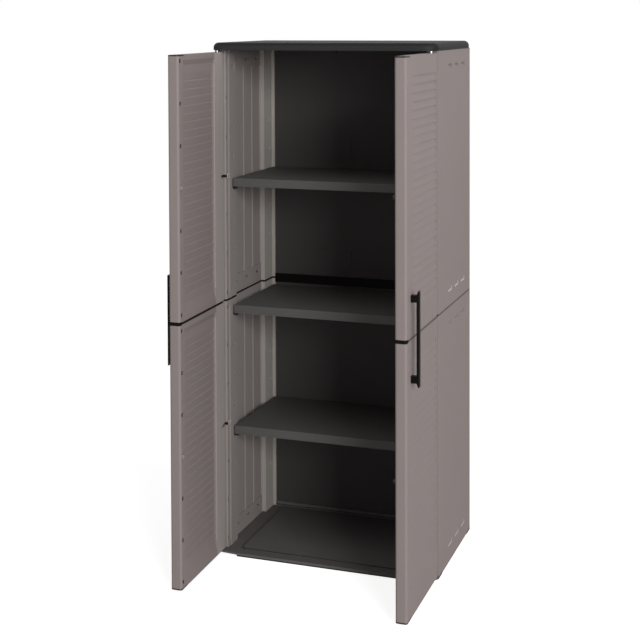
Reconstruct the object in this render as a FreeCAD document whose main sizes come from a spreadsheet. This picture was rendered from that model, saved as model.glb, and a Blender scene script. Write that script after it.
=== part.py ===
import FreeCAD, Part
import os
from types import SimpleNamespace

import Sketcher

# A tall two-door resin storage cabinet, standing with both doors open.
# The origin is the centre of the underside of the base: X right, Y to the back, Z up, in mm.
# Side is +1 for the right of the cabinet and -1 for the left.

SIZES = {
    # Whole cabinet
    "cabinet_width": 736,
    "cabinet_depth": 472,
    "seam_thickness": 6,
    # Side walls, two modules high
    "wall_module": 803.5,
    "wall_thickness": 37,
    "wall_depth": 434,
    "wall_skin": 3,
    "stile_inner_skin": 4,
    "fluted_inner_skin": 6.5,
    "front_stile": 84,
    "rear_stile_start": 341,
    "middle_rib": 212,
    "rib_width": 3,
    "field_recess": 13,
    "wall_edge_rounding": 4,
    "skirt_drop": 6,
    "skirt_start": 48,
    "skirt_end": 386,
    "rear_lip": 10,
    "front_lip_depth": 6,
    "rear_lip_depth": 9,
    "flute_width": 69,
    "flute_pitch": 75,
    "flute_start": 119,
    "flute_depth": 3,
    "flute_rounding": 8,
    "flute_bottom_margin": 60,
    "flute_top_margin": 60,
    "window_width": 26,
    "window_height": 6,
    "window_margin": 34,
    "window_start": 120,
    "window_pitch": 92,
    "snap_mark_margin": 43,
    "snap_mark_start": 153,
    "snap_mark_pitch": 88,
    "snap_mark_length": 50,
    "snap_mark_height": 7,
    "snap_mark_hook": 8,
    "snap_mark_depth": 1.5,
    "slot_width": 10,
    "slot_height": 10,
    "slot_first": 162,
    "slot_pitch": 99,
    "slot_count": 7,
    "front_slot_place": 62,
    "rear_slot_place": 385,
    "channel_start": 4,
    "channel_width": 21,
    "channel_depth": 2,
    "channel_margin": 16,
    "channel_hole_place": 12,
    "channel_hole_width": 12,
    "bead_start": 27,
    "bead_width": 15,
    "bead_height": 1.5,
    "label_start": 47,
    "label_width": 32,
    "label_height": 26,
    "label_margin": 46,
    "label_depth": 1,
    # Base tray
    "base_plate": 8,
    "base_underside_skin": 4,
    "underside_rib": 12,
    "lip_height": 11,
    "lip_bow": 7,
    "lip_corner": 15,
    "lip_relief_height": 5,
    "lip_relief_start": 285,
    "platform_height": 14,
    "platform_half_width": 285,
    "platform_setback": 3,
    "platform_rounding": 2.5,
    "platform_corner": 16,
    "rear_gutter": 50,
    "curb_height": 23,
    "tongue_height": 9,
    "lid_tongue_height": 6,
    "tongue_length": 50,
    "tongue_clearance": 0.3,
    # Back panels and the beam between them
    "panel_thickness": 4.4,
    "panel_clearance": 0.3,
    "groove_depth": 10,
    "beam_height": 30,
    "curb_groove": 6,
    "lid_groove": 5,
    "boss_width": 180,
    "boss_height": 74,
    "boss_inner_edge": 42,
    "boss_rounding": 10,
    "boss_relief": 1.5,
    "upper_boss_height": 498,
    "lower_boss_height": 103,
    # Lid
    "lid_thickness": 24,
    "lid_side_overhang": 2,
    "lid_rear_overhang": 1,
    "lid_front_overhang": 1,
    "lid_front_corner": 42,
    "lid_rear_corner": 25,
    "lid_edge_rounding": 16,
    "lid_skin": 4,
    "lid_rib": 5,
    "catch_width": 44,
    "catch_offset": 18,
    "catch_height": 10,
    "catch_depth": 14,
    "catch_setback": 4,
    "catch_nose": 5,
    # Shelves and their pegs
    "shelf_thickness": 27,
    "shelf_skin": 4,
    "shelf_end_gap": 6,
    "shelf_setback": 46,
    "shelf_rear_gap": 2,
    "shelf_rounding": 3,
    "peg_height": 9,
    "peg_reach": 7,
    "peg_inset": 3,
    "lower_shelf_slot": 2,
    "middle_shelf_slot": 6,
    "upper_shelf_slot": 2,
    # Doors
    "door_thickness": 35,
    "door_wall_gap": 1,
    "door_meeting_gap": 4,
    "door_floor_gap": 3.5,
    "door_seam": 7,
    "door_rounding": 7,
    "door_skin": 3,
    "free_stile": 35,
    "louvre_start": 10,
    "louvre_end": 288,
    "hinge_cell_start": 12,
    "door_hinge_skin": 6,
    "door_end_wall": 14,
    "louvre_step": 3.5,
    "louvre_flat": 4,
    "louvre_pitch": 24.75,
    "louvre_count": 27,
    "louvre_top_margin": 57,
    "recess_start": 68,
    "recess_depth": 7,
    "recess_edge_rounding": 3,
    "inner_louvre_depth": 3,
    "inner_louvre_bevel": 3,
    "recess_top_margin": 31,
    "recess_bottom_margin": 52,
    "recess_top_slope": 15,
    "recess_bottom_slope": 35,
    "recess_rounding": 4,
    "door_slot_width": 14,
    "door_slot_height": 12,
    "door_slot_edge": 14.5,
    "door_slot_pitch": 126,
    "door_slots_each_side": 3,
    "cap_length": 40,
    "cap_thickness": 4,
    "joiner_end_height": 11,
    "joiner_end_length": 12,
    "right_open_angle": 90,
    "left_open_angle": 89,
    # Hinges
    "pin_diameter": 7.8,
    "pin_clearance": 0.1,
    "pin_in_door": 40,
    "pin_in_lid": 12,
    "pin_hole_in_lid": 14,
    "ear_radius": 9,
    "joiner_ear_gap": 2,
    "clip_height": 8,
    "clip_neck": 8,
    "clip_notch_depth": 28,
    "clip_notch_reach": 8,
    "clip_slit_reach": 25,
    "clip_slit_depth": 3,
    "clip_plate_height": 14,
    "clip_plate": 2,
    "clip_plate_length": 22,
    "clip_knuckle_radius": 7,
    "clip_clearance": 1.5,
    "clip_pin_in_door": 15,
    "lower_clip_place": 406.5,
    "upper_clip_place": 398.5,
    # Handles, clip screws and knobs
    "handle_length": 274,
    "handle_width": 16,
    "handle_standoff": 25,
    "handle_bar": 8,
    "handle_tip": 3.5,
    "handle_post_spacing": 230,
    "handle_post_height": 20,
    "handle_edge_distance": 50,
    "handle_rounding": 2.5,
    "handle_stem_diameter": 10,
    "handle_stem_length": 5,
    "handle_stem_clearance": 0.2,
    "screw_clearance": 0.2,
    "clip_screw_diameter": 4,
    "clip_screw_head_diameter": 8,
    "clip_screw_head_height": 2,
    "knob_diameter": 16,
    "knob_height": 7,
    "knob_stem_diameter": 8,
    "knob_stem_clearance": 0.2,
    "knob_edge_distance": 13,
    "knob_place": 400,
    "knob_rounding": 2,
}


class Size:
    """A length with its value and the formula that ties it to the sheet."""

    def __init__(self, value, formula):
        self.value = float(value)
        self.formula = formula

    def joined(self, sign, other, value):
        return Size(value, "(%s %s %s)" % (self.formula, sign, size_of(other).formula))

    def __add__(self, other):
        return self.joined("+", other, self.value + size_of(other).value)

    def __sub__(self, other):
        return self.joined("-", other, self.value - size_of(other).value)

    def __mul__(self, other):
        return self.joined("*", other, self.value * size_of(other).value)

    def __truediv__(self, other):
        return self.joined("/", other, self.value / size_of(other).value)

    def __radd__(self, other):
        return size_of(other) + self

    def __rsub__(self, other):
        return size_of(other) - self

    def __rmul__(self, other):
        return size_of(other) * self

    def __neg__(self):
        return Size(-self.value, "(-1 * %s)" % self.formula)


def size_of(number):
    """A plain number as a Size, or the Size itself."""
    return number if isinstance(number, Size) else Size(number, repr(float(number)))


def write_sheet(doc):
    """The driving dimensions, one named cell each."""
    sheet = doc.addObject("Spreadsheet::Sheet", "Sizes")
    for row, (name, value) in enumerate(SIZES.items(), start=1):
        sheet.set("A%d" % row, name)
        sheet.set("B%d" % row, str(value))
        sheet.setAlias("B%d" % row, name)
    doc.recompute()


doc = FreeCAD.newDocument("storage_cabinet")
write_sheet(doc)
d = SimpleNamespace(**{name: Size(value, "Sizes." + name) for name, value in SIZES.items()})
sub_parts = []


# Outlines: each function returns one that draws its loop in a sketch


def pin_point(sketch, index, end, along, across):
    """Ties one point of a sketch to its two distances from the origin."""
    for kind, size in (("DistanceX", along), ("DistanceY", across)):
        size = size_of(size)
        number = sketch.addConstraint(Sketcher.Constraint(kind, index, end, size.value))
        sketch.setExpression("Constraints[%d]" % number, size.formula)


def set_radius(sketch, index, radius):
    radius = size_of(radius)
    number = sketch.addConstraint(Sketcher.Constraint("Radius", index, radius.value))
    sketch.setExpression("Constraints[%d]" % number, radius.formula)


def flat_point(along, across):
    return FreeCAD.Vector(size_of(along).value, size_of(across).value, 0)


def polygon(corners):
    def draw(sketch):
        first = sketch.GeometryCount
        count = len(corners)
        for k, corner in enumerate(corners):
            ahead = corners[(k + 1) % count]
            sketch.addGeometry(Part.LineSegment(flat_point(*corner), flat_point(*ahead)), False)
        for k, corner in enumerate(corners):
            ahead = first + (k + 1) % count
            sketch.addConstraint(Sketcher.Constraint("Coincident", first + k, 2, ahead, 1))
            pin_point(sketch, first + k, 1, *corner)

    return draw


def rectangle(low_a, high_a, low_b, high_b):
    return polygon([(low_a, low_b), (high_a, low_b), (high_a, high_b), (low_a, high_b)])


def grid(columns, rows, along, across, rib):
    """Equal rectangles in columns and rows, with a rib between one and the next."""
    width = (along[1] - along[0] - rib * (columns - 1)) / columns
    depth = (across[1] - across[0] - rib * (rows - 1)) / rows
    cells = []
    for column in range(columns):
        left = along[0] + (width + rib) * column
        for row in range(rows):
            low = across[0] + (depth + rib) * row
            cells.append(rectangle(left, left + width, low, low + depth))
    return cells


def circle(along, across, radius):
    def draw(sketch):
        ring = Part.Circle(flat_point(along, across), FreeCAD.Vector(0, 0, 1), size_of(radius).value)
        index = sketch.addGeometry(ring, False)
        pin_point(sketch, index, 3, along, across)
        set_radius(sketch, index, radius)

    return draw


def rounded(low_a, high_a, low_b, high_b, low_radius, high_radius):
    """A rectangle with one corner radius at its low end in b and one at its high end."""

    def draw(sketch):
        low, high = size_of(low_radius), size_of(high_radius)
        lines = [
            ((low_a + low, low_b), (high_a - low, low_b)),
            ((high_a, low_b + low), (high_a, high_b - high)),
            ((high_a - high, high_b), (low_a + high, high_b)),
            ((low_a, high_b - high), (low_a, low_b + low)),
        ]
        centres = [
            (high_a - low, low_b + low),
            (high_a - high, high_b - high),
            (low_a + high, high_b - high),
            (low_a + low, low_b + low),
        ]
        radii = [low, high, high, low]
        first = sketch.GeometryCount
        for start, end in lines:
            sketch.addGeometry(Part.LineSegment(flat_point(*start), flat_point(*end)), False)
        for k, (centre, radius) in enumerate(zip(centres, radii)):
            middle = flat_point(*centre)
            start = flat_point(*lines[k][1])
            end = flat_point(*lines[(k + 1) % 4][0])
            bulge = (start + end) * 0.5 - middle
            bulge.normalize()
            sketch.addGeometry(Part.Arc(start, middle + bulge * radius.value, end), False)
        for k, (start, end) in enumerate(lines):
            pin_point(sketch, first + k, 1, *start)
            pin_point(sketch, first + k, 2, *end)
        for k, radius in enumerate(radii):
            arc = first + 4 + k
            sketch.addConstraint(Sketcher.Constraint("Coincident", arc, 1, first + k, 2))
            sketch.addConstraint(Sketcher.Constraint("Coincident", arc, 2, first + (k + 1) % 4, 1))
            set_radius(sketch, arc, radius)

    return draw


# Features of a body


PLANE_ACROSS = {"x": "YZ_Plane", "y": "XZ_Plane", "z": "XY_Plane"}
AXIS_ALONG = {"x": "X_Axis", "y": "Y_Axis", "z": "Z_Axis"}


def new_body(label):
    body = doc.addObject("PartDesign::Body", label)
    body.Label = label
    body.AllowCompound = True
    sub_parts.append(body)
    return body


def origin_feature(body, role):
    return next(feature for feature in body.Origin.OriginFeatures if feature.Role == role)


def prism(body, kind, axis, outlines, low, high):
    """A pad or pocket along an axis from low to high; its outlines lie across that axis."""
    low, high = size_of(low), size_of(high)
    sketch = body.newObject("Sketcher::SketchObject", body.Name + "_outline")
    sketch.AttachmentSupport = [(origin_feature(body, PLANE_ACROSS[axis]), "")]
    sketch.MapMode = "FlatFace"
    start = -high if axis == "y" else low
    sketch.setExpression("AttachmentOffset.Base.z", start.formula)
    for outline in outlines:
        outline(sketch)
    feature = body.newObject("PartDesign::" + kind, body.Name + "_" + kind.lower())
    feature.Profile = sketch
    feature.setExpression("Length", (high - low).formula)
    return feature


def add(body, axis, outlines, low, high):
    feature = prism(body, "Pad", axis, outlines, low, high)
    doc.recompute()
    return feature


def cut(body, axis, outlines, low, high):
    """A pocket that runs from low to high and has to take something away."""
    volume = body.Shape.Volume
    feature = prism(body, "Pocket", axis, outlines, low, high)
    feature.Reversed = True
    doc.recompute()
    if not feature.Shape.Volume < volume:
        raise RuntimeError("%s cuts nothing" % feature.Label)
    return feature


def repeat(body, features, axis, pitch, count):
    """The same features again along an axis."""
    pattern = body.newObject("PartDesign::LinearPattern", body.Name + "_pattern")
    pattern.Originals = features
    pattern.Direction = (origin_feature(body, AXIS_ALONG[axis]), [""])
    pattern.Mode = "Spacing"
    pattern.setExpression("Offset", size_of(pitch).formula)
    pattern.setExpression("Occurrences", size_of(count).formula)
    body.Tip = pattern
    doc.recompute()
    return pattern


def fillet(body, radius, wanted):
    """Rounds the edges of the latest feature for which wanted is true."""
    base = body.Tip
    names = ["Edge%d" % k for k, edge in enumerate(base.Shape.Edges, start=1) if wanted(edge)]
    feature = body.newObject("PartDesign::Fillet", body.Name + "_fillet")
    feature.Base = (base, names)
    feature.setExpression("Radius", size_of(radius).formula)
    body.Tip = feature
    doc.recompute()
    return feature


def near(first, second):
    return abs(first - size_of(second).value) < 0.01


def edge_in_plane(axis, place):
    """A test for edges that lie wholly in one plane across an axis."""

    def test(edge):
        box = edge.BoundBox
        ends = {"x": (box.XMin, box.XMax), "y": (box.YMin, box.YMax), "z": (box.ZMin, box.ZMax)}
        return near(ends[axis][0], place) and near(ends[axis][1], place)

    return test


def upright_edge_at(axis, place):
    """A test for edges along z that stand in one plane across an axis."""
    in_plane = edge_in_plane(axis, place)

    def test(edge):
        box = edge.BoundBox
        return box.ZLength > box.XLength + box.YLength and in_plane(edge)

    return test


def span(side, inner, outer):
    """The low and high end along x of what lies between two distances on one side."""
    return (inner, outer) if side > 0 else (-outer, -inner)


# Main places, worked out from the sizes


half_width = d.cabinet_width / 2
wall_inner_face = half_width - d.wall_thickness
back = d.cabinet_depth / 2
wall_front = back - d.wall_depth
field_face = wall_inner_face + d.field_recess
field_front = wall_front + d.front_stile
field_back = wall_front + d.rear_stile_start
lower_floor = d.base_plate
seam_bottom = lower_floor + d.wall_module
seam_top = seam_bottom + d.seam_thickness
seam_middle = seam_bottom + d.seam_thickness / 2
upper_floor = seam_top
lid_bottom = upper_floor + d.wall_module
lid_top = lid_bottom + d.lid_thickness
lip_edge = wall_inner_face - d.rear_lip
groove_front = back - d.rear_lip_depth - d.panel_thickness - d.panel_clearance * 2
groove_back = back - d.rear_lip_depth
lip_front = groove_front - d.front_lip_depth

hinge_radius = d.door_thickness / 2
hinge_x = half_width - hinge_radius
hinge_y = wall_front - d.door_wall_gap - hinge_radius
door_front = hinge_y - hinge_radius
door_width = half_width - d.door_meeting_gap / 2
free_edge = door_width - hinge_radius
door_bottom = d.lip_height + d.door_floor_gap
door_top = seam_middle * 2 - door_bottom
door_module = seam_middle - d.door_seam / 2 - door_bottom
lower_door_floor = door_bottom
upper_door_floor = seam_middle + d.door_seam / 2
pin_hole = d.pin_diameter / 2 + d.pin_clearance

SIDES = {"left": -1, "right": 1}
MODULE_FLOOR = {"lower": lower_floor, "upper": upper_floor}
DOOR_FLOOR = {"lower": lower_door_floor, "upper": upper_door_floor}
CLIP_PLACE = {
    "lower": lower_floor + d.lower_clip_place,
    "upper": upper_floor + d.upper_clip_place,
}
OPEN_ANGLE = {"left": d.left_open_angle, "right": d.right_open_angle}


def slot_groups(middle):
    """The lowest slot of the row below a knob or clip, and of the row above it."""
    return [middle - d.door_slot_pitch * d.door_slots_each_side, middle + d.door_slot_pitch]


def wall_outline(side):
    """The plan of a side wall, with the two lips that hold the back panel."""
    outer = half_width * side
    inner = wall_inner_face * side
    field = field_face * side
    lip = lip_edge * side
    return [
        (outer, wall_front),
        (inner, wall_front),
        (inner, field_front),
        (field, field_front),
        (field, field_back),
        (inner, field_back),
        (inner, lip_front),
        (lip, lip_front),
        (lip, groove_front),
        (inner, groove_front),
        (inner, groove_back),
        (lip, groove_back),
        (lip, back),
        (outer, back),
    ]


def stile_cells():
    """The front and rear hollows of a side wall, as ranges in y."""
    front = (wall_front + d.wall_skin, field_front - d.rib_width)
    rear = (field_back + d.rib_width, lip_front - d.wall_skin)
    return [front, rear]


def side_tongues(body, side, low, high):
    """Tongues that stand in the stile hollows of a side wall."""
    inner, outer = span(
        side,
        wall_inner_face + d.stile_inner_skin + d.tongue_clearance,
        half_width - d.wall_skin - d.tongue_clearance,
    )
    outlines = []
    for cell_front, cell_back in stile_cells():
        middle = (cell_front + cell_back) / 2
        outlines.append(
            rectangle(inner, outer, middle - d.tongue_length / 2, middle + d.tongue_length / 2)
        )
    add(body, "z", outlines, low, high)


# Base tray


def make_base_tray():
    body = new_body("base_tray")
    side_edge = half_width - d.wall_skin - d.tongue_clearance
    corner_front = -back + d.lip_bow
    skirt_front = wall_front + d.skirt_start
    skirt_back = wall_front + d.skirt_end
    slope = d.lip_bow + d.lip_corner
    plate = [
        (d.lip_relief_start, -back),
        (half_width - d.lip_corner, corner_front),
        (half_width, -back + slope),
        (half_width, skirt_front - d.tongue_clearance),
        (side_edge, skirt_front - d.tongue_clearance),
        (side_edge, skirt_back + d.tongue_clearance),
        (half_width, skirt_back + d.tongue_clearance),
        (half_width, back),
    ]
    mirrored = [(-x, y) for x, y in reversed(plate)]
    add(body, "z", [polygon(plate + mirrored)], 0, d.base_plate)
    lip = plate[:3] + [(half_width, wall_front - d.tongue_clearance)]
    mirrored = [(-x, y) for x, y in reversed(lip)]
    add(body, "z", [polygon(lip + mirrored)], d.base_plate, d.lip_height)
    platform_front = wall_front + d.platform_setback
    platform_back = groove_front - d.front_lip_depth - d.rear_gutter
    platform = rounded(
        -d.platform_half_width,
        d.platform_half_width,
        platform_front,
        platform_back,
        d.platform_corner,
        d.platform_corner,
    )
    add(body, "z", [platform], d.base_plate, d.platform_height)
    fillet(body, d.platform_rounding, edge_in_plane("z", d.platform_height))
    curb_edge = lip_edge - d.tongue_clearance
    curb_front = groove_front - d.front_lip_depth
    add(body, "z", [rectangle(-curb_edge, curb_edge, curb_front, back)], d.base_plate, d.curb_height)
    groove = rectangle(-curb_edge, curb_edge, groove_front, groove_back)
    cut(body, "z", [groove], d.curb_height - d.curb_groove, d.curb_height)
    for side in SIDES.values():
        side_tongues(body, side, d.base_plate, d.base_plate + d.tongue_height)
    rib = d.underside_rib
    hollow_edge = d.platform_half_width - rib
    hollows = grid(4, 2, (-hollow_edge, hollow_edge), (platform_front + rib, platform_back - rib), rib)
    cut(body, "z", hollows, 0, d.platform_height - d.base_underside_skin - d.platform_rounding)
    reliefs = []
    for side in SIDES.values():
        inner, outer = span(side, d.lip_relief_start, half_width)
        reliefs.append(rectangle(inner, outer, -back, wall_front))
    cut(body, "z", reliefs, 0, d.lip_relief_height)
    holes = [circle(hinge_x * side, hinge_y, pin_hole) for side in SIDES.values()]
    cut(body, "z", holes, d.lip_relief_height, d.lip_height)


# Side walls


def snap_mark(side_height, upward):
    """One hooked mark, in y and z, that rises or falls at its rear end."""

    def outline(middle):
        start = middle - d.snap_mark_length / 2
        end = middle + d.snap_mark_length / 2
        turn = end - d.snap_mark_hook
        foot = side_height
        band = foot + d.snap_mark_height * upward
        tip = band + d.snap_mark_hook * upward
        return polygon([(start, foot), (end, foot), (end, tip), (turn, tip), (turn, band), (start, band)])

    return outline


def make_side_wall(level, hand):
    side = SIDES[hand]
    floor = MODULE_FLOOR[level]
    top = floor + d.wall_module
    body = new_body("wall_%s_%s" % (level, hand))
    add(body, "z", [polygon(wall_outline(side))], floor, top)
    fillet(body, d.wall_edge_rounding, upright_edge_at("y", wall_front))

    stile = span(side, wall_inner_face + d.stile_inner_skin, half_width - d.wall_skin)
    field = span(side, field_face + d.fluted_inner_skin, half_width - d.wall_skin)
    cells = [rectangle(*stile, low, high) for low, high in stile_cells()]
    rib = wall_front + d.middle_rib
    cells.append(rectangle(*field, field_front, rib - d.rib_width / 2))
    cells.append(rectangle(*field, rib + d.rib_width / 2, field_back))
    cut(body, "z", cells, floor, top)

    flute_low = wall_front + d.flute_start
    flute = rounded(
        flute_low,
        flute_low + d.flute_width,
        floor + d.flute_bottom_margin,
        top - d.flute_top_margin,
        d.flute_rounding,
        d.flute_rounding,
    )
    flute_depth = span(side, field_face, field_face + d.flute_depth)
    flutes = cut(body, "x", [flute], *flute_depth)
    repeat(body, [flutes], "y", d.flute_pitch, 3)

    window_depth = span(side, field_face, field_face + d.fluted_inner_skin)
    window_middle = wall_front + d.window_start
    windows = []
    for low in (floor + d.window_margin, top - d.window_margin - d.window_height):
        window_edge = window_middle - d.window_width / 2
        windows.append(rectangle(window_edge, window_edge + d.window_width, low, low + d.window_height))
    window_cut = cut(body, "x", windows, *window_depth)
    repeat(body, [window_cut], "y", d.window_pitch, 3)

    mark_depth = span(side, half_width - d.snap_mark_depth, half_width)
    low_mark = snap_mark(floor + d.snap_mark_margin, 1)
    high_mark = snap_mark(top - d.snap_mark_margin, -1)
    mark_middle = wall_front + d.snap_mark_start
    marks = cut(body, "x", [low_mark(mark_middle), high_mark(mark_middle)], *mark_depth)
    repeat(body, [marks], "y", d.snap_mark_pitch, 3)

    slot_depth = span(side, wall_inner_face, wall_inner_face + d.stile_inner_skin)
    slot_top = floor + d.slot_first + d.tongue_clearance
    slots = []
    for place in (d.front_slot_place, d.rear_slot_place):
        low = wall_front + place - d.slot_width / 2 - d.tongue_clearance
        high = wall_front + place + d.slot_width / 2 + d.tongue_clearance
        slots.append(rectangle(low, high, slot_top - d.slot_height, slot_top))
    slot_cut = cut(body, "x", slots, *slot_depth)
    repeat(body, [slot_cut], "z", d.slot_pitch, d.slot_count)

    bead_low = wall_front + d.bead_start
    bead = rectangle(bead_low, bead_low + d.bead_width, floor, top)
    add(body, "x", [bead], *span(side, wall_inner_face - d.bead_height, wall_inner_face))
    channel_low = wall_front + d.channel_start
    channel = rectangle(
        channel_low,
        channel_low + d.channel_width,
        floor + d.channel_margin,
        top - d.channel_margin,
    )
    cut(body, "x", [channel], *span(side, wall_inner_face, wall_inner_face + d.channel_depth))
    hole_middle = wall_front + d.channel_hole_place
    hole_low = hole_middle - d.channel_hole_width / 2
    clip = CLIP_PLACE[level]
    holes = []
    for middle in slot_groups(clip):
        low = middle - d.door_slot_height / 2
        holes.append(rectangle(hole_low, hole_low + d.channel_hole_width, low, low + d.door_slot_height))
    hole_cut = cut(body, "x", holes, *slot_depth)
    repeat(body, [hole_cut], "z", d.door_slot_pitch, d.door_slots_each_side)
    screw_hole = circle(hole_middle, clip, d.clip_screw_diameter / 2 + d.screw_clearance)
    cut(body, "x", [screw_hole], *slot_depth)
    if level == "upper":
        label_low = wall_front + d.label_start
        label_top = top - d.label_margin
        label = rectangle(label_low, label_low + d.label_width, label_top - d.label_height, label_top)
        cut(body, "x", [label], *span(side, wall_inner_face, wall_inner_face + d.label_depth))

    if level == "lower":
        inner, outer = span(side, half_width - d.wall_skin, half_width)
        skirt = rectangle(inner, outer, wall_front + d.skirt_start, wall_front + d.skirt_end)
        add(body, "z", [skirt], floor - d.skirt_drop, floor)


# Middle frame: a plate in the seam of each wall, and the beam behind the middle shelf


def make_seam_plate(hand):
    side = SIDES[hand]
    body = new_body("seam_plate_%s" % hand)
    add(body, "z", [polygon(wall_outline(side))], seam_bottom, seam_top)
    inner, outer = span(side, hinge_x - d.ear_radius, hinge_x + d.ear_radius)
    add(body, "z", [rectangle(inner, outer, hinge_y, wall_front)], seam_bottom, seam_top)
    add(body, "z", [circle(hinge_x * side, hinge_y, d.ear_radius)], seam_bottom, seam_top)
    side_tongues(body, side, seam_bottom - d.tongue_height, seam_bottom)
    side_tongues(body, side, seam_top, seam_top + d.tongue_height)
    cut(body, "z", [circle(hinge_x * side, hinge_y, pin_hole)], seam_bottom, seam_top)


def make_rear_beam():
    body = new_body("rear_beam")
    edge = lip_edge - d.tongue_clearance
    low = seam_middle - d.beam_height / 2
    high = seam_middle + d.beam_height / 2
    add(body, "z", [rectangle(-edge, edge, lip_front, back)], low, high)
    groove = rectangle(-edge, edge, groove_front, groove_back)
    cut(body, "z", [groove], low, low + d.groove_depth)
    cut(body, "z", [groove], high - d.groove_depth, high)


# Back panels


def make_back_panel(level):
    body = new_body("back_panel_%s" % level)
    edge = wall_inner_face - d.panel_clearance
    front = groove_front + d.panel_clearance
    beam_low = seam_middle - d.beam_height / 2
    beam_high = seam_middle + d.beam_height / 2
    ends = {
        "lower": (
            d.curb_height - d.curb_groove + d.panel_clearance,
            beam_low + d.groove_depth - d.panel_clearance,
        ),
        "upper": (
            beam_high - d.groove_depth + d.panel_clearance,
            lid_bottom + d.lid_groove - d.panel_clearance,
        ),
    }
    low, high = ends[level]
    add(body, "y", [rectangle(-edge, edge, low, high)], front, front + d.panel_thickness)
    if level == "upper":
        bosses = []
        for side in SIDES.values():
            left, right = span(side, d.boss_inner_edge, d.boss_inner_edge + d.boss_width)
            for place in (d.lower_boss_height, d.upper_boss_height):
                boss_top = upper_floor + place
                bosses.append(
                    rounded(
                        left,
                        right,
                        boss_top - d.boss_height,
                        boss_top,
                        d.boss_rounding,
                        d.boss_rounding,
                    )
                )
        add(body, "y", bosses, front - d.boss_relief, front)


# Lid and its catch


def make_lid():
    body = new_body("lid")
    edge = half_width + d.lid_side_overhang
    front = door_front - d.lid_front_overhang
    rear = back + d.lid_rear_overhang
    plan = rounded(-edge, edge, front, rear, d.lid_front_corner, d.lid_rear_corner)
    add(body, "z", [plan], lid_bottom, lid_top)
    fillet(body, d.lid_edge_rounding, edge_in_plane("z", lid_top))

    pocket_edge = lip_edge - d.lid_rib
    pocket_front = wall_front + d.catch_setback + d.catch_depth + d.lid_rib
    pocket_back = groove_front - d.lid_rib
    pockets = grid(4, 2, (-pocket_edge, pocket_edge), (pocket_front, pocket_back), d.lid_rib)
    cut(body, "z", pockets, lid_bottom, lid_top - d.lid_skin)
    panel_edge = wall_inner_face
    groove = rectangle(-panel_edge, panel_edge, groove_front, groove_back)
    cut(body, "z", [groove], lid_bottom, lid_bottom + d.lid_groove)
    holes = [circle(hinge_x * side, hinge_y, pin_hole) for side in SIDES.values()]
    cut(body, "z", holes, lid_bottom, lid_bottom + d.pin_hole_in_lid)
    for side in SIDES.values():
        side_tongues(body, side, lid_bottom - d.lid_tongue_height, lid_bottom)


def make_lid_catch():
    body = new_body("lid_catch")
    front = wall_front + d.catch_setback
    rear = front + d.catch_depth
    bottom = lid_bottom - d.catch_height
    profile = [
        (front, bottom + d.catch_nose),
        (front + d.catch_nose, bottom),
        (rear, bottom),
        (rear, lid_bottom),
        (front, lid_bottom),
    ]
    left = d.catch_offset - d.catch_width / 2
    add(body, "x", [polygon(profile)], left, left + d.catch_width)


# Shelves and the pegs that carry them


SHELF_BOTTOM = {
    "lower": lower_floor + d.slot_first + d.slot_pitch * d.lower_shelf_slot,
    "middle": lower_floor + d.slot_first + d.slot_pitch * d.middle_shelf_slot,
    "upper": upper_floor + d.slot_first + d.slot_pitch * d.upper_shelf_slot,
}


def make_shelf(place):
    body = new_body("shelf_%s" % place)
    bottom = SHELF_BOTTOM[place]
    top = bottom + d.shelf_thickness
    edge = wall_inner_face - d.shelf_end_gap
    front = wall_front + d.shelf_setback
    rear = lip_front - d.shelf_rear_gap
    add(body, "z", [rectangle(-edge, edge, front, rear)], bottom, top)
    fillet(body, d.shelf_rounding, edge_in_plane("z", top))
    rim = d.shelf_skin
    pockets = grid(4, 1, (-edge + rim, edge - rim), (front + rim, rear - rim), rim)
    cut(body, "z", pockets, bottom, top - d.shelf_skin)


def make_shelf_pegs(place):
    """Four pegs, from the slots of the walls to under the ends of the shelf."""
    body = new_body("shelf_pegs_%s" % place)
    top = SHELF_BOTTOM[place]
    outlines = []
    for side in SIDES.values():
        inner, outer = span(
            side,
            wall_inner_face - d.shelf_end_gap - d.peg_reach,
            wall_inner_face + d.stile_inner_skin + d.peg_inset,
        )
        for place_along in (d.front_slot_place, d.rear_slot_place):
            low = wall_front + place_along - d.slot_width / 2
            outlines.append(rectangle(inner, outer, low, low + d.slot_width))
    add(body, "z", outlines, top - d.peg_height, top)


# Doors: drawn shut about their hinge axis, then swung open
# Along runs from the hinge axis to the free edge, and out is the face away from the cabinet


def hang_on_hinge(piece, hand):
    """Puts a piece of a door on its hinge axis, at the angle the door stands open."""
    side = SIDES[hand]
    angle = OPEN_ANGLE[hand]
    turn = FreeCAD.Rotation(FreeCAD.Vector(0, 0, side), angle.value)
    piece.Placement = FreeCAD.Placement(FreeCAD.Vector(0, 0, 0), turn)
    piece.setExpression("Placement.Base.x", (hinge_x * side).formula)
    piece.setExpression("Placement.Base.y", hinge_y.formula)
    piece.setExpression("Placement.Rotation.Angle", angle.formula)
    doc.recompute()


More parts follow.
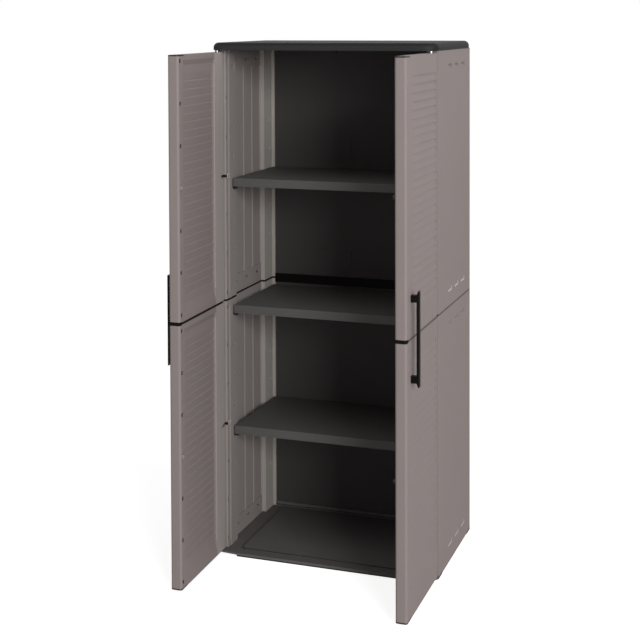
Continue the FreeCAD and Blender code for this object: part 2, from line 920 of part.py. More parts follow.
def make_door_panel(level, hand):
    side = SIDES[hand]
    floor = DOOR_FLOOR[level]
    top = floor + door_module
    out = -hinge_radius
    body = new_body("door_panel_%s_%s" % (level, hand))
    slab = span(-side, size_of(0), free_edge)
    add(body, "z", [rectangle(*slab, out, hinge_radius)], floor, top)
    fillet(body, d.door_rounding, upright_edge_at("x", free_edge * -side))
    add(body, "z", [circle(0, 0, hinge_radius)], floor, top)

    recess_end = door_width - d.free_stile - hinge_radius
    recess_field = span(-side, d.recess_start, recess_end)
    recess_bottom = floor + d.recess_bottom_margin
    recess_top = top - d.recess_top_margin
    recess_floor = hinge_radius - d.recess_depth
    rounding = d.recess_rounding
    recess = rounded(*recess_field, recess_bottom, recess_top, rounding, rounding)
    cut(body, "y", [recess], recess_floor, hinge_radius)
    on_inner_face = edge_in_plane("y", hinge_radius)

    def on_recess_rim(edge):
        box = edge.BoundBox
        inside = box.ZMin > floor.value + 1 and box.ZMax < top.value - 1
        return inside and on_inner_face(edge)

    fillet(body, d.recess_edge_rounding, on_recess_rim)
    bottom_slope = [
        (hinge_radius, recess_bottom - d.recess_bottom_slope),
        (hinge_radius, recess_bottom),
        (recess_floor, recess_bottom),
    ]
    top_slope = [
        (hinge_radius, recess_top + d.recess_top_slope),
        (recess_floor, recess_top),
        (hinge_radius, recess_top),
    ]
    cut(body, "x", [polygon(bottom_slope), polygon(top_slope)], *recess_field)

    louvre_top = top - d.louvre_top_margin - d.louvre_pitch * (d.louvre_count - 1)
    louvre_bottom = louvre_top - d.louvre_pitch
    outer_cut = [
        (out, louvre_top),
        (out + d.louvre_step, louvre_top),
        (out, louvre_bottom + d.louvre_flat),
    ]
    inner_cut = [
        (recess_floor, louvre_top),
        (recess_floor - d.inner_louvre_depth, louvre_bottom + d.inner_louvre_bevel),
        (recess_floor, louvre_bottom),
    ]
    outer_louvre = cut(body, "x", [polygon(outer_cut)], *span(-side, d.louvre_start, d.louvre_end))
    inner_louvre = cut(body, "x", [polygon(inner_cut)], *recess_field)
    repeat(body, [outer_louvre, inner_louvre], "z", d.louvre_pitch, d.louvre_count)

    skin = d.door_skin
    cell_out = out + d.louvre_step + skin
    hinge_cell = span(-side, d.hinge_cell_start, d.recess_start - skin)
    field_cell = span(-side, d.recess_start, recess_end)
    cells = [
        rectangle(*hinge_cell, cell_out, hinge_radius - d.door_hinge_skin),
        rectangle(*field_cell, cell_out, recess_floor - d.inner_louvre_depth - skin),
    ]
    cut(body, "z", cells, floor + d.door_end_wall, top - d.door_end_wall)

    stile = span(-side, door_width - d.free_stile + skin - hinge_radius, free_edge - skin)
    hollow = rectangle(*stile, out + skin, hinge_radius - skin)
    cut(body, "z", [hollow, circle(0, 0, pin_hole)], floor, top)

    slot_middle = free_edge - d.door_slot_edge
    slot = span(-side, slot_middle - d.door_slot_width / 2, slot_middle + d.door_slot_width / 2)
    slot_outlines = []
    for middle in slot_groups(floor + d.knob_place):
        low = middle - d.door_slot_height / 2
        slot_outlines.append(rectangle(*slot, low, low + d.door_slot_height))
    slots = cut(body, "y", slot_outlines, hinge_radius - skin, hinge_radius)
    repeat(body, [slots], "z", d.door_slot_pitch, d.door_slots_each_side)

    knob = free_edge - d.knob_edge_distance
    knob_hole = circle(knob * -side, floor + d.knob_place, d.knob_stem_diameter / 2 + d.knob_stem_clearance)
    cut(body, "y", [knob_hole], hinge_radius - skin, hinge_radius)

    post = {
        "lower": seam_middle - d.handle_post_spacing / 2,
        "upper": seam_middle + d.handle_post_spacing / 2,
    }
    socket = d.handle_stem_diameter / 2 + d.handle_stem_clearance
    cut(body, "y", [circle(handle_middle() * -side, post[level], socket)], out, out + d.handle_stem_length)

    reach = d.clip_height / 2 + d.clip_clearance
    notch = span(-side, -hinge_radius, d.clip_notch_reach)
    slit = span(-side, size_of(0), d.clip_slit_reach)
    clip = CLIP_PLACE[level]
    cut(body, "z", [rectangle(*notch, hinge_radius - d.clip_notch_depth, hinge_radius)], clip - reach, clip + reach)
    cut(body, "z", [rectangle(*slit, hinge_radius - d.clip_slit_depth, hinge_radius)], clip - reach, clip + reach)

    cap = span(-side, free_edge - d.cap_length, free_edge)
    joint = span(-side, free_edge - d.joiner_end_length, free_edge)
    joint_height = (d.joiner_end_height - d.door_seam) / 2
    full = (out, hinge_radius)
    if level == "lower":
        cut(body, "z", [rectangle(*cap, *full)], floor, floor + d.cap_thickness)
        cut(body, "z", [rectangle(*joint, *full)], top - joint_height, top)
    else:
        cut(body, "z", [rectangle(*cap, *full)], top - d.cap_thickness, top)
        cut(body, "z", [rectangle(*joint, *full)], floor, floor + joint_height)
    hang_on_hinge(body, hand)


def stile_plug(body, side, low, high):
    """A tongue that fills the hollow of a door's free stile."""
    margin = d.door_skin + d.tongue_clearance
    along = span(-side, door_width - d.free_stile + margin - hinge_radius, free_edge - margin)
    add(body, "z", [rectangle(*along, margin - hinge_radius, hinge_radius - margin)], low, high)


def make_door_joiner(hand):
    """The thin plate between the two modules of a door, thick at its free end."""
    side = SIDES[hand]
    body = new_body("door_joiner_%s" % hand)
    low = seam_middle - d.door_seam / 2
    high = seam_middle + d.door_seam / 2
    plate = span(-side, d.ear_radius + d.joiner_ear_gap, free_edge)
    add(body, "z", [rectangle(*plate, -hinge_radius, hinge_radius)], low, high)
    end = span(-side, free_edge - d.joiner_end_length, free_edge)
    end_low = seam_middle - d.joiner_end_height / 2
    end_high = seam_middle + d.joiner_end_height / 2
    add(body, "z", [rectangle(*end, -hinge_radius, hinge_radius)], end_low, end_high)
    fillet(body, d.door_rounding, upright_edge_at("x", free_edge * -side))
    stile_plug(body, side, low - d.tongue_height, high + d.tongue_height)
    hang_on_hinge(body, hand)


def make_door_cap(end, hand):
    """The plate that closes the hollow stile at the free corner of a door."""
    side = SIDES[hand]
    body = new_body("door_cap_%s_%s" % (end, hand))
    low = door_bottom if end == "bottom" else door_top - d.cap_thickness
    high = low + d.cap_thickness
    plate = span(-side, free_edge - d.cap_length, free_edge)
    add(body, "z", [rectangle(*plate, -hinge_radius, hinge_radius)], low, high)
    fillet(body, d.door_rounding, upright_edge_at("x", free_edge * -side))
    if end == "bottom":
        stile_plug(body, side, high, high + d.tongue_height)
    else:
        stile_plug(body, side, low - d.tongue_height, low)
    hang_on_hinge(body, hand)


# Handles and knobs


def handle_middle():
    """How far the middle of a handle lies from the hinge axis."""
    return free_edge - d.handle_edge_distance


def make_handle(hand):
    side = SIDES[hand]
    body = new_body("handle_%s" % hand)
    face = -hinge_radius
    outside = face - d.handle_standoff
    inside = outside + d.handle_bar
    tip = outside + d.handle_tip
    half_length = d.handle_length / 2
    post_out = (d.handle_post_spacing + d.handle_post_height) / 2
    post_in = (d.handle_post_spacing - d.handle_post_height) / 2
    upper_half = [
        (inside, post_in),
        (face, post_in),
        (face, post_out),
        (inside, post_out),
        (tip, half_length),
        (outside, half_length),
    ]
    lower_half = [(out, -rise) for out, rise in reversed(upper_half)]
    profile = [(out, seam_middle + rise) for out, rise in upper_half + lower_half]
    middle = handle_middle()
    across = span(-side, middle - d.handle_width / 2, middle + d.handle_width / 2)
    add(body, "x", [polygon(profile)], *across)
    fillet(body, d.handle_rounding, edge_in_plane("y", outside))
    stems = [
        circle(middle * -side, seam_middle + d.handle_post_spacing / 2 * sign, d.handle_stem_diameter / 2)
        for sign in (-1, 1)
    ]
    add(body, "y", stems, face, face + d.handle_stem_length)
    hang_on_hinge(body, hand)


def make_knob(level, hand):
    side = SIDES[hand]
    body = new_body("knob_%s_%s" % (level, hand))
    along = (free_edge - d.knob_edge_distance) * -side
    place = DOOR_FLOOR[level] + d.knob_place
    face = hinge_radius
    top = face + d.knob_height
    add(body, "y", [circle(along, place, d.knob_diameter / 2)], face, top)
    fillet(body, d.knob_rounding, edge_in_plane("y", top))
    stem = circle(along, place, d.knob_stem_diameter / 2)
    add(body, "y", [stem], face - d.door_skin, face)
    hang_on_hinge(body, hand)


# Hinge pins and the clips half way up each door module


def make_pin(label, hand, low, high):
    """A steel pin on the hinge axis."""
    side = SIDES[hand]
    pin = doc.addObject("Part::Cylinder", label)
    pin.Label = label
    pin.setExpression("Radius", (d.pin_diameter / 2).formula)
    pin.setExpression("Height", (high - low).formula)
    pin.setExpression("Placement.Base.x", (hinge_x * side).formula)
    pin.setExpression("Placement.Base.y", hinge_y.formula)
    pin.setExpression("Placement.Base.z", size_of(low).formula)
    sub_parts.append(pin)


def make_hinge_pins(hand):
    middle_reach = d.pin_in_door + d.door_seam / 2
    make_pin("pin_bottom_%s" % hand, hand, d.lip_relief_height, door_bottom + d.pin_in_door)
    make_pin("pin_middle_%s" % hand, hand, seam_middle - middle_reach, seam_middle + middle_reach)
    make_pin("pin_top_%s" % hand, hand, door_top - d.pin_in_door, lid_bottom + d.pin_in_lid)
    for level, place in CLIP_PLACE.items():
        reach = d.clip_height / 2 + d.clip_clearance + d.clip_pin_in_door
        make_pin("clip_pin_%s_%s" % (level, hand), hand, place - reach, place + reach)


def make_hinge_clip(level, hand):
    """A knuckle on the door's pin, with a strip round the front corner of the wall to a plate."""
    side = SIDES[hand]
    body = new_body("hinge_clip_%s_%s" % (level, hand))
    place = CLIP_PLACE[level]
    low = place - d.clip_height / 2
    high = place + d.clip_height / 2
    axis_x = hinge_x * side
    add(body, "z", [circle(axis_x, hinge_y, d.clip_knuckle_radius)], low, high)
    neck = span(side, hinge_x - d.clip_neck / 2, hinge_x + d.clip_neck / 2)
    add(body, "z", [rectangle(*neck, hinge_y, wall_front)], low, high)
    plate_face = wall_inner_face - d.clip_plate
    strip_front = wall_front - d.clip_plate
    plate_front = wall_front + d.wall_edge_rounding
    strip = span(side, plate_face, hinge_x + d.clip_neck / 2)
    add(body, "z", [rectangle(*strip, strip_front, wall_front)], low, high)
    plate = span(side, plate_face, wall_inner_face)
    add(body, "z", [rectangle(*plate, strip_front, plate_front)], low, high)
    plate_low = place - d.clip_plate_height / 2
    plate_high = place + d.clip_plate_height / 2
    plate_back = plate_front + d.clip_plate_length
    add(body, "z", [rectangle(*plate, plate_front, plate_back)], plate_low, plate_high)
    cut(body, "z", [circle(axis_x, hinge_y, pin_hole)], low, high)
    screw_middle = wall_front + d.channel_hole_place
    screw_hole = circle(screw_middle, place, d.clip_screw_diameter / 2 + d.screw_clearance)
    cut(body, "x", [screw_hole], *plate)


def make_clip_screws(hand):
    """The screws that hold the two hinge clips of one wall."""
    side = SIDES[hand]
    body = new_body("clip_screws_%s" % hand)
    middle = wall_front + d.channel_hole_place
    plate_face = wall_inner_face - d.clip_plate
    places = list(CLIP_PLACE.values())
    shanks = [circle(middle, place, d.clip_screw_diameter / 2) for place in places]
    heads = [circle(middle, place, d.clip_screw_head_diameter / 2) for place in places]
    add(body, "x", shanks, *span(side, plate_face, wall_inner_face + d.stile_inner_skin))
    add(body, "x", heads, *span(side, plate_face - d.clip_screw_head_height, plate_face))


# Building, checking and writing the sub-parts


def make_cabinet():
    make_base_tray()
    make_rear_beam()
    make_lid()
    make_lid_catch()
    for level in MODULE_FLOOR:
        make_back_panel(level)
    for place in SHELF_BOTTOM:
        make_shelf(place)
        make_shelf_pegs(place)
    for hand in SIDES:
        make_seam_plate(hand)
        make_door_joiner(hand)
        make_handle(hand)
        make_hinge_pins(hand)
        make_clip_screws(hand)
        for end in ("bottom", "top"):
            make_door_cap(end, hand)
        for level in MODULE_FLOOR:
            make_side_wall(level, hand)
            make_door_panel(level, hand)
            make_knob(level, hand)
            make_hinge_clip(level, hand)


def check_cabinet():
    doc.recompute()
    for item in doc.Objects:
        if "Invalid" in item.State or "Error" in item.State:
            raise RuntimeError("%s failed: %s" % (item.Label, item.State))
    for part in sub_parts:
        if part.Shape.isNull() or not part.Shape.isValid():
            raise RuntimeError("%s has no valid shape" % part.Label)


def write_cabinet():
    os.makedirs("parts", exist_ok=True)
    for part in sub_parts:
        part.Shape.exportStep("parts/%s.step" % part.Label)
        print("%-28s %2d solid(s), %7.1f cm3" % (part.Label, len(part.Shape.Solids), part.Shape.Volume / 1000))


make_cabinet()
check_cabinet()
write_cabinet()
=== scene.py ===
# %% [markdown]
# A resin storage cabinet, dressed for a product picture.
# The imported model already has every wall, shelf, door and pin at full size. What is left to do is
# what a model maker would call finishing: surfaces, light and a camera. We load the model as a fixed frame
# before we add anything.

# %% Load the frame
import math

import bpy
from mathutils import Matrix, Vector

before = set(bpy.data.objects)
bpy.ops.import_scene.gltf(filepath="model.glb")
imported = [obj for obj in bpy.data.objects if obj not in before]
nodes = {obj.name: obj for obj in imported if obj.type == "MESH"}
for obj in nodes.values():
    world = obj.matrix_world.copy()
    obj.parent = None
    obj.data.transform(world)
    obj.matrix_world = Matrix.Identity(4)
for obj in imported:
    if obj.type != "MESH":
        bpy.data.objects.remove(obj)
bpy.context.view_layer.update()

# %% [markdown]
# Shaders are built from nodes, and nodes take many short lines. A few small functions keep those out of
# the way, one for each kind of node we need. Plain values and the outputs of other nodes go in alike,
# so a mask can be a number or the end of a long chain.

# %% Small functions for shader nodes


def feed(tree, socket, value):
    """Set a socket to a plain value, or link another node's output to it."""
    if hasattr(value, "is_output"):
        tree.links.new(value, socket)
    else:
        socket.default_value = value


def math_node(tree, operation, first, second=0.0):
    node = tree.nodes.new("ShaderNodeMath")
    node.operation = operation
    feed(tree, node.inputs[0], first)
    feed(tree, node.inputs[1], second)
    return node.outputs[0]


def mix_colours(tree, factor, first, second):
    node = tree.nodes.new("ShaderNodeMix")
    node.data_type = "RGBA"
    sockets = {socket.identifier: socket for socket in node.inputs}
    feed(tree, sockets["Factor_Float"], factor)
    feed(tree, sockets["A_Color"], first)
    feed(tree, sockets["B_Color"], second)
    return next(socket for socket in node.outputs if socket.identifier == "Result_Color")


def noise(tree, place, scale, detail):
    node = tree.nodes.new("ShaderNodeTexNoise")
    feed(tree, node.inputs["Scale"], scale)
    feed(tree, node.inputs["Detail"], detail)
    feed(tree, node.inputs["Vector"], place)
    return node.outputs["Fac"]


def object_place(tree):
    return tree.nodes.new("ShaderNodeTexCoord").outputs["Object"]


def stretched_upward(tree, place, scale):
    """The same place with its height scaled down, which draws a pattern out along the upright."""
    node = tree.nodes.new("ShaderNodeMapping")
    feed(tree, node.inputs["Scale"], (1.0, 1.0, scale))
    feed(tree, node.inputs["Vector"], place)
    return node.outputs["Vector"]


def new_material(name):
    material = bpy.data.materials.new(name)
    material.use_nodes = True
    return material, material.node_tree, material.node_tree.nodes["Principled BSDF"]


def srgb(red, green, blue):
    """A screen colour from 0 to 255 as the linear colour that a shader wants."""
    values = [channel / 255 for channel in (red, green, blue)]
    linear = [((v + 0.055) / 1.055) ** 2.4 if v > 0.04045 else v / 12.92 for v in values]
    return (*linear, 1.0)


def drifting_colour(tree, drift, colour, amount):
    """A colour that moves between a slightly darker and a slightly paler version of itself."""
    low, high = [(*[channel * shade for channel in colour[:3]], 1.0) for shade in (1 - amount, 1 + amount)]
    return mix_colours(tree, drift, low, high)


print("mid grey in linear light:", round(srgb(128, 128, 128)[0], 3))

# %% [markdown]
# The skin of a moulded cabinet is never quite flat or quite even. We give it a fine leathery grain,
# which is finer than the picture can show, and a colour that drifts a little over a hand's width.
# Both effects serve every plastic piece here, so they are built once, as a node group, and each
# material sets its own amounts. The group reads Object coordinates, which are metres on this model,
# so a scale of 700 makes grains of about a millimetre and a half.

# %% A node group for moulded skin
GRAIN_SCALE = 700.0
DRIFT_SCALE = 5.0
STREAK_SCALE = 45.0
STREAK_STRETCH = 0.12
DRIFT_SHARE = 0.65
STREAK_SHARE = 0.35


def build_moulded_skin():
    """Height of the grain, and a slow drift of shade, both from 0 to 1."""
    tree = bpy.data.node_groups.new("moulded_skin", "ShaderNodeTree")
    for name in ("Grain Height", "Drift"):
        tree.interface.new_socket(name, in_out="OUTPUT", socket_type="NodeSocketFloat")
    place = object_place(tree)
    slow = noise(tree, place, DRIFT_SCALE, 2.0)
    streak = noise(tree, stretched_upward(tree, place, STREAK_STRETCH), STREAK_SCALE, 1.0)
    slow_part = math_node(tree, "MULTIPLY", slow, DRIFT_SHARE)
    streak_part = math_node(tree, "MULTIPLY", streak, STREAK_SHARE)
    output = tree.nodes.new("NodeGroupOutput")
    feed(tree, output.inputs["Grain Height"], noise(tree, place, GRAIN_SCALE, 2.0))
    feed(tree, output.inputs["Drift"], math_node(tree, "ADD", slow_part, streak_part))
    return tree


moulded_skin = build_moulded_skin()
print("group:", moulded_skin.name)

# %% [markdown]
# Every plastic here is the same recipe with other numbers: a colour and how far it drifts, a roughness,
# how strong and how deep the grain is, and how much it shines. Writing the recipe as one function keeps
# the finishes easy to compare. The grain also stirs the roughness a little, by an amount that the
# recipe takes off again at half way, so the number given stays the middle.

# %% The plastic recipe
ROUGHNESS_STIR = 0.12


def skin_of(tree):
    """The moulded skin of a material, added the first time it is asked for."""
    for node in tree.nodes:
        if node.type == "GROUP":
            return node
    node = tree.nodes.new("ShaderNodeGroup")
    node.node_tree = moulded_skin
    return node


def moulded_plastic(name, colour, drift, roughness, grain, grain_depth, gloss=0.2):
    material, tree, shader = new_material(name)
    skin = skin_of(tree).outputs
    feed(tree, shader.inputs["Base Color"], drifting_colour(tree, skin["Drift"], srgb(*colour), drift))
    stir = math_node(tree, "MULTIPLY", skin["Grain Height"], ROUGHNESS_STIR)
    feed(tree, shader.inputs["Roughness"], math_node(tree, "ADD", stir, roughness - ROUGHNESS_STIR / 2))
    bump = tree.nodes.new("ShaderNodeBump")
    feed(tree, bump.inputs["Strength"], grain)
    feed(tree, bump.inputs["Distance"], grain_depth)
    feed(tree, bump.inputs["Height"], skin["Grain Height"])
    feed(tree, shader.inputs["Normal"], bump.outputs["Normal"])
    feed(tree, shader.inputs["Specular IOR Level"], gloss)
    return material


wall_resin = moulded_plastic("taupe_wall_resin", (146, 135, 133), 0.04, 0.62, 0.25, 0.0003)
door_resin = moulded_plastic("taupe_door_resin", (146, 135, 133), 0.04, 0.60, 0.25, 0.0003)
lid_resin = moulded_plastic("dark_lid_resin", (56, 55, 56), 0.06, 0.55, 0.30, 0.0003, gloss=0.05)
shelf_resin = moulded_plastic("dark_shelf_resin", (88, 86, 85), 0.06, 0.60, 0.30, 0.0003)
panel_resin = moulded_plastic("dark_panel_resin", (73, 69, 69), 0.08, 0.65, 0.20, 0.0003)
base_resin = moulded_plastic("dark_base_resin", (102, 98, 98), 0.08, 0.60, 0.30, 0.0003)
beam_resin = moulded_plastic("black_beam_resin", (9, 8, 8), 0.10, 0.60, 0.20, 0.0002, gloss=0.1)
black_resin = moulded_plastic("black_resin", (26, 24, 24), 0.10, 0.50, 0.20, 0.0002, gloss=0.3)
handle_resin = moulded_plastic("satin_black_handle", (12, 9, 8), 0.10, 0.40, 0.15, 0.0002, gloss=0.12)
clip_resin = moulded_plastic("black_clip_resin", (26, 24, 24), 0.10, 0.50, 0.20, 0.0002, gloss=0.3)
print("plastics:", len(bpy.data.materials))

# %% [markdown]
# Some faces have a tone of their own in the picture, much of it light and shade. We lay such a tone over the
# material's colour with a mask, and most of these tones are painted light and painted shade. The mask is
# made from where a point lies on the cabinet. The masks below read like short sentences: a place above one
# limit, below another, both or either. One more function, tint, splits the place into its axes, asks for the
# mask and lays the tone.

# %% Tones laid by place


def outward(tree, place):
    """How far a point stands from the middle of the cabinet, to either side."""
    return math_node(tree, "ABSOLUTE", place["X"])


def above(tree, value, limit):
    return math_node(tree, "GREATER_THAN", value, limit)


def below(tree, value, limit):
    return math_node(tree, "LESS_THAN", value, limit)


def both(tree, first, second):
    return math_node(tree, "MULTIPLY", first, second)


def either(tree, first, second):
    return math_node(tree, "MAXIMUM", first, second)


def between(tree, value, limits):
    return both(tree, above(tree, value, limits[0]), below(tree, value, limits[1]))


def ramp(tree, value, limits):
    """A soft step from 0 at the first limit to 1 at the second."""
    node = tree.nodes.new("ShaderNodeMapRange")
    node.interpolation_type = "SMOOTHSTEP"
    feed(tree, node.inputs["From Min"], limits[0])
    feed(tree, node.inputs["From Max"], limits[1])
    feed(tree, node.inputs["Value"], value)
    return node.outputs["Result"]


def tint(material, mask_of, colour):
    """Lay a colour over a material's own, by a mask made from its object coordinates."""
    tree = material.node_tree
    base = tree.nodes["Principled BSDF"].inputs["Base Color"]
    plain = base.links[0].from_socket
    split = tree.nodes.new("ShaderNodeSeparateXYZ")
    feed(tree, split.inputs[0], object_place(tree))
    feed(tree, base, mix_colours(tree, mask_of(tree, split.outputs), plain, colour))


print("tones can be laid on", len(bpy.data.materials), "materials")

# %% [markdown]
# Inside, the picture's walls are greyer than outside. Why, we can't tell. So the inner skin gets a greyer
# colour, and a slightly paler one: the paleness is painted light, which brings its mean tone to the
# picture's under our lamps.
# The walls stand upright on both sides of the middle, so a plain distance from the middle tells the
# two skins apart: everything nearer than 360 mm is inside. The recipe's own drift runs on under both.

# %% The inner skin of the walls
INNER_SKIN = 0.36
INNER_GREY_AND_PAINTED_LIGHT = srgb(152, 144, 141)
INNER_DRIFT = 0.04


def inner_skin(tree, place):
    return below(tree, outward(tree, place), INNER_SKIN)


wall_tree = wall_resin.node_tree
wall_drift = skin_of(wall_tree).outputs["Drift"]
# The inner skin's grey is also painted paler: painted light inside the cabinet.
tint(wall_resin, inner_skin, drifting_colour(wall_tree, wall_drift, INNER_GREY_AND_PAINTED_LIGHT, INNER_DRIFT))
print("inner skin nearer than", INNER_SKIN, "m")

# %% [markdown]
# The J-shaped snap marks are pressed a millimetre and a half into the outer face. In the picture those near
# the floor and above the seam read pale, and those under the lid read dark. It doesn't show why, so the
# tones are simply laid on. Here the pale ones get a painted highlight and the ones under the lid painted
# shade, laid on as colour. We pick the marks out by depth: the floor of a mark lies between 366.1 and 367.1
# mm from the middle, where no other face of the wall is, save the rounding of its front edge, which the last
# limit leaves out.

# %% Painted highlight and shade in the snap marks
MARK_SKIN = (0.3661, 0.3671)
LOWEST_MARK = 0.10
SEAM_MARKS = (0.82, 0.90)
TOP_MARKS = 1.54
MARKS_BEHIND = -0.10


def in_mark(tree, place):
    in_skin = between(tree, outward(tree, place), MARK_SKIN)
    return both(tree, in_skin, above(tree, place["Y"], MARKS_BEHIND))


# A painted highlight on the marks near the floor and over the seam.
def painted_highlight_marks(tree, place):
    low = below(tree, place["Z"], LOWEST_MARK)
    return both(tree, in_mark(tree, place), either(tree, between(tree, place["Z"], SEAM_MARKS), low))


# Painted shade on the marks under the lid.
def painted_shade_marks(tree, place):
    return both(tree, in_mark(tree, place), above(tree, place["Z"], TOP_MARKS))


# Painted highlight on the lower marks, painted shade on the top ones.
tint(wall_resin, painted_highlight_marks, srgb(204, 196, 194))
tint(wall_resin, painted_shade_marks, srgb(122, 112, 110))
print("snap marks below", LOWEST_MARK, "m, over the seam and above", TOP_MARKS, "m")

# %% [markdown]
# Three tones have soft edges. In the picture the rear stiles of the walls and the hinge stile of the left
# door read paler than the skin beside them, and the ends and the top of the lid read darker than its front.
# The stiles get painted light and the lid's ends and top painted shade, matched by measure. Whether light
# or colour makes them so, we can't tell: they are matched by eye and by measure. Each is a soft ramp along
# one axis, and the stiles are held to the right skin by a second limit. The left door is written where it
# stands at rest, and its tone turns with it.

# %% Painted light on the stiles, painted shade on the lid ends
REAR_STILE = (0.132, 0.150)
HINGE_STILE = (-0.290, -0.276)
LEFT_DOOR_INNER = (-0.336, -0.330)
LID_END = (0.350, 0.366)
LID_TOP = (1.630, 1.642)


def rear_stile_painted_light(tree, place):
    return both(tree, inner_skin(tree, place), ramp(tree, place["Y"], REAR_STILE))


def hinge_stile_painted_light(tree, place):
    inner_face = between(tree, place["X"], LEFT_DOOR_INNER)
    return both(tree, inner_face, ramp(tree, place["Y"], HINGE_STILE))


def lid_ends_painted_shade(tree, place):
    return either(tree, ramp(tree, outward(tree, place), LID_END), ramp(tree, place["Z"], LID_TOP))


# Painted light on the stiles, painted shade on the lid's ends and top.
tint(wall_resin, rear_stile_painted_light, srgb(184, 178, 171))
tint(door_resin, hinge_stile_painted_light, srgb(172, 163, 159))
tint(lid_resin, lid_ends_painted_shade, srgb(42, 41, 42))
print("soft tones on", wall_resin.name, door_resin.name, lid_resin.name)

# %% [markdown]
# The last tones are sharp. The step round the platform of the base and the base's bottom edge get painted
# shade, and the walls' rounded front edges get a little painted shade, darker than the wall. In the picture
# the seams read softer from the side than from the front. The plates of the hinge clips are pale after a
# bright dot in the picture. That the dot is such a plate is a guess.

# %% Painted shade on base and front edges, clip plates and seams
PLATFORM_STEP = (0.0110, 0.0138)
BASE_BOTTOM = 0.004
CLIP_PLATE = -0.194
OUTER_SEAM = 0.3665
SEAM_END = -0.545
FRONT_EDGE = -0.1945


def base_edges_painted_shade(tree, place):
    return either(tree, between(tree, place["Z"], PLATFORM_STEP), below(tree, place["Z"], BASE_BOTTOM))


def clip_plate(tree, place):
    return above(tree, place["Y"], CLIP_PLATE)


def outer_seam(tree, place):
    return both(tree, above(tree, outward(tree, place), OUTER_SEAM), above(tree, place["Y"], SEAM_END))


def front_edge_painted_shade(tree, place):
    return both(tree, above(tree, outward(tree, place), INNER_SKIN), below(tree, place["Y"], FRONT_EDGE))


# Painted shade in the step round the platform and along the base's bottom edge.
tint(base_resin, base_edges_painted_shade, srgb(44, 42, 42))
tint(clip_resin, clip_plate, srgb(205, 200, 196))
tint(beam_resin, outer_seam, srgb(96, 88, 85))
# Painted shade on the walls' rounded front edges.
tint(wall_resin, front_edge_painted_shade, srgb(137, 127, 125))
print("sharp tones on", base_resin.name, clip_resin.name, beam_resin.name, wall_resin.name)

# %% [markdown]
# The picture hardly shows the hinge pins, so we take them for zinc-plated steel rod. A plain metal
# with a stretched noise in its colour and its roughness looks drawn, which is how such rod is made.

# %% Steel for the pins
DRAW_LINES_SCALE = 1500.0
DRAW_LINES_STRETCH = 0.05
DARK_ZINC = srgb(176, 176, 174)
PALE_ZINC = srgb(214, 214, 212)
SMOOTHEST_ZINC = 0.22
ZINC_ROUGHNESS_RANGE = 0.2


def drawn_steel():
    material, tree, shader = new_material("zinc_steel")
    feed(tree, shader.inputs["Metallic"], 1.0)
    drawn = stretched_upward(tree, object_place(tree), DRAW_LINES_STRETCH)
    lines = noise(tree, drawn, DRAW_LINES_SCALE, 2.0)
    feed(tree, shader.inputs["Base Color"], mix_colours(tree, lines, DARK_ZINC, PALE_ZINC))
    spread = math_node(tree, "MULTIPLY", lines, ZINC_ROUGHNESS_RANGE)
    feed(tree, shader.inputs["Roughness"], math_node(tree, "ADD", spread, SMOOTHEST_ZINC))
    return material


steel = drawn_steel()
print("metal:", steel.name)

# %% [markdown]
# Now each piece gets its finish. The names of the pieces begin with what they are, so a short list of
# beginnings is enough. The first one that fits wins, and whatever is left is one of the small black
# fittings: the door caps and the right door's knobs.

# %% Which finish goes on which piece
FINISHES = (
    ("base_tray", base_resin),
    ("rear_beam", beam_resin),
    ("seam_plate_", beam_resin),
    ("door_joiner_", beam_resin),
    ("knob_lower_left", door_resin),
    ("knob_upper_left", door_resin),
    ("wall_", wall_resin),
    ("door_panel_", door_resin),
    ("lid_catch", black_resin),
    ("lid", lid_resin),
    ("shelf_pegs_", black_resin),
    ("shelf_", shelf_resin),
    ("back_panel_", panel_resin),
    ("handle_", handle_resin),
    ("hinge_clip_", clip_resin),
    ("pin_", steel),
    ("clip_pin_", steel),
    ("clip_screws_", steel),
)


def finish_of(name):
    return next((material for start, material in FINISHES if name.startswith(start)), black_resin)


for name, piece in nodes.items():
    piece.data.materials.clear()
    piece.data.materials.append(finish_of(name))
print("finished", len(nodes), "pieces")

# %% [markdown]
# The camera stands where the straight edges in the picture put it: four and a half metres away, a
# hand above the lid, to the right of the cabinet. The upright edges of the cabinet stay nearly
# parallel in the picture, so the camera looks almost level, and its view is shifted down instead of
# tilted. That is what a view camera does, and Blender's shift values do the same.

# %% Camera
CAMERA_PLACE = Vector((1.3587, -4.2035, 1.7202))
CAMERA_TURN = [math.radians(angle) for angle in (88.1433, 0.2275, 19.7192)]
CAMERA_LENS = 76.28
CAMERA_SENSOR = 36
CAMERA_SHIFT = (0.0316, -0.4022)
CABINET_MIDDLE = Vector((0, 0, 1.0))

camera_data = bpy.data.cameras.new("photo_camera")
camera_data.lens = CAMERA_LENS
camera_data.sensor_width = CAMERA_SENSOR
camera_data.shift_x, camera_data.shift_y = CAMERA_SHIFT
camera = bpy.data.objects.new("photo_camera", camera_data)
camera.location = CAMERA_PLACE
camera.rotation_euler = CAMERA_TURN
bpy.context.scene.collection.objects.link(camera)
bpy.context.scene.camera = camera
print("camera to cabinet:", round((CAMERA_PLACE - CABINET_MIDDLE).length, 2), "m")

# %% [markdown]
# The floor and the room are white, as in a studio. Light that lands on the cabinet from them is kept
# low, because an even white room would wash out every shape. The camera must see them white all the
# same. Light Path tells the two apart: a ray that comes from the camera, or by way of a shiny or
# clear face, finds a bright room, and all other rays find a dim one. The floor is lifted for the
# camera's rays alone.

# %% Floor and room
FLOOR_HALF_SIZE = 12.0
FLOOR_GREY = (0.8, 0.8, 0.8, 1)
FLOOR_ROUGHNESS = 0.9
FLOOR_LIFT = 0.80
ROOM_LIGHT = 0.16
WHITE = (1, 1, 1, 1)


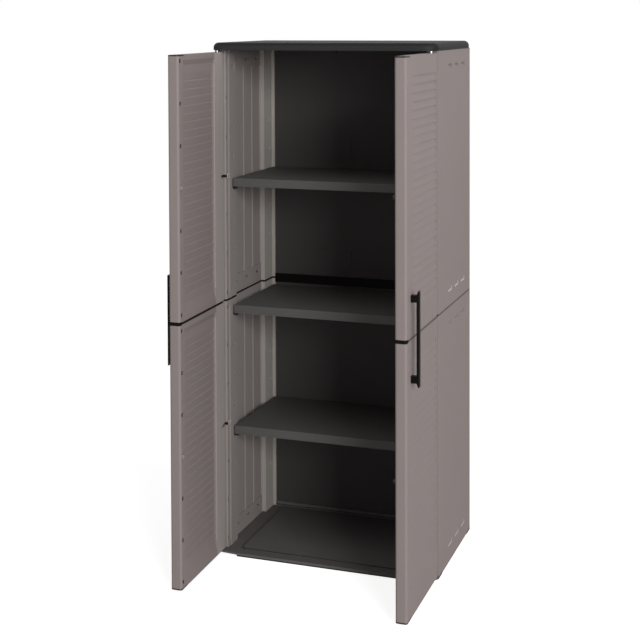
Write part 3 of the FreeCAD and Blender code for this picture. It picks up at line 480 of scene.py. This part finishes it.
def make_floor():
    mesh = bpy.data.meshes.new("floor")
    corners = [(-1, -1), (1, -1), (1, 1), (-1, 1)]
    mesh.from_pydata([(x * FLOOR_HALF_SIZE, y * FLOOR_HALF_SIZE, 0) for x, y in corners], [], [(0, 1, 2, 3)])
    floor = bpy.data.objects.new("floor", mesh)
    bpy.context.scene.collection.objects.link(floor)
    material, tree, shader = new_material("pale_floor")
    feed(tree, shader.inputs["Base Color"], FLOOR_GREY)
    feed(tree, shader.inputs["Roughness"], FLOOR_ROUGHNESS)
    feed(tree, shader.inputs["Emission Color"], WHITE)
    seen = tree.nodes.new("ShaderNodeLightPath").outputs["Is Camera Ray"]
    feed(tree, shader.inputs["Emission Strength"], math_node(tree, "MULTIPLY", seen, FLOOR_LIFT))
    mesh.materials.append(material)


def make_room():
    world = bpy.data.worlds.new("white_room")
    bpy.context.scene.world = world
    world.use_nodes = True
    tree = world.node_tree
    background = tree.nodes["Background"]
    feed(tree, background.inputs["Color"], WHITE)
    path = tree.nodes.new("ShaderNodeLightPath").outputs
    seen = either(tree, path["Is Camera Ray"], path["Is Glossy Ray"])
    seen = either(tree, seen, path["Is Transmission Ray"])
    lift = math_node(tree, "MULTIPLY", seen, 1 - ROOM_LIGHT)
    feed(tree, background.inputs["Strength"], math_node(tree, "ADD", lift, ROOM_LIGHT))


make_floor()
make_room()
print("floor half size:", FLOOR_HALF_SIZE, "m, room light:", ROOM_LIGHT)

# %% [markdown]
# A product picture is lit by large soft sources, so that no lamp shows as a hard shadow. A wide panel
# far off to the front right does nearly all the work. That far away its light hardly weakens from the
# near door to the back, but inside the cabinet the tones fall off to the right, which the picture
# doesn't show. A second panel at the side lifts the outer faces of the right wall and door, and one
# overhead lifts the shelves.

# %% Lamps
# Each lamp: where it stands, what it aims at, its width and height in metres, its power in watts
LAMPS = {
    "front_right_panel": ((7.5, -9.8, 3.8), (0, -0.1, 0.8), (4.0, 4.4), 880),
    "side_panel": ((5.2, -1.6, 2.2), (0.3, -0.1, 0.8), (2.6, 2.6), 48),
    "top_panel": ((0.6, -1.6, 4.6), (0, -0.2, 0.8), (2.6, 2.6), 30),
}

for lamp, (place, aim, size, power) in LAMPS.items():
    panel = bpy.data.lights.new(lamp, "AREA")
    panel.shape = "RECTANGLE"
    panel.size, panel.size_y = size
    panel.energy = power
    stand = bpy.data.objects.new(lamp, panel)
    stand.location = place
    stand.rotation_euler = (Vector(aim) - Vector(place)).to_track_quat("-Z", "Y").to_euler()
    bpy.context.scene.collection.objects.link(stand)
bpy.context.scene.view_settings.view_transform = "Standard"
print("lamps:", len(bpy.data.lights))
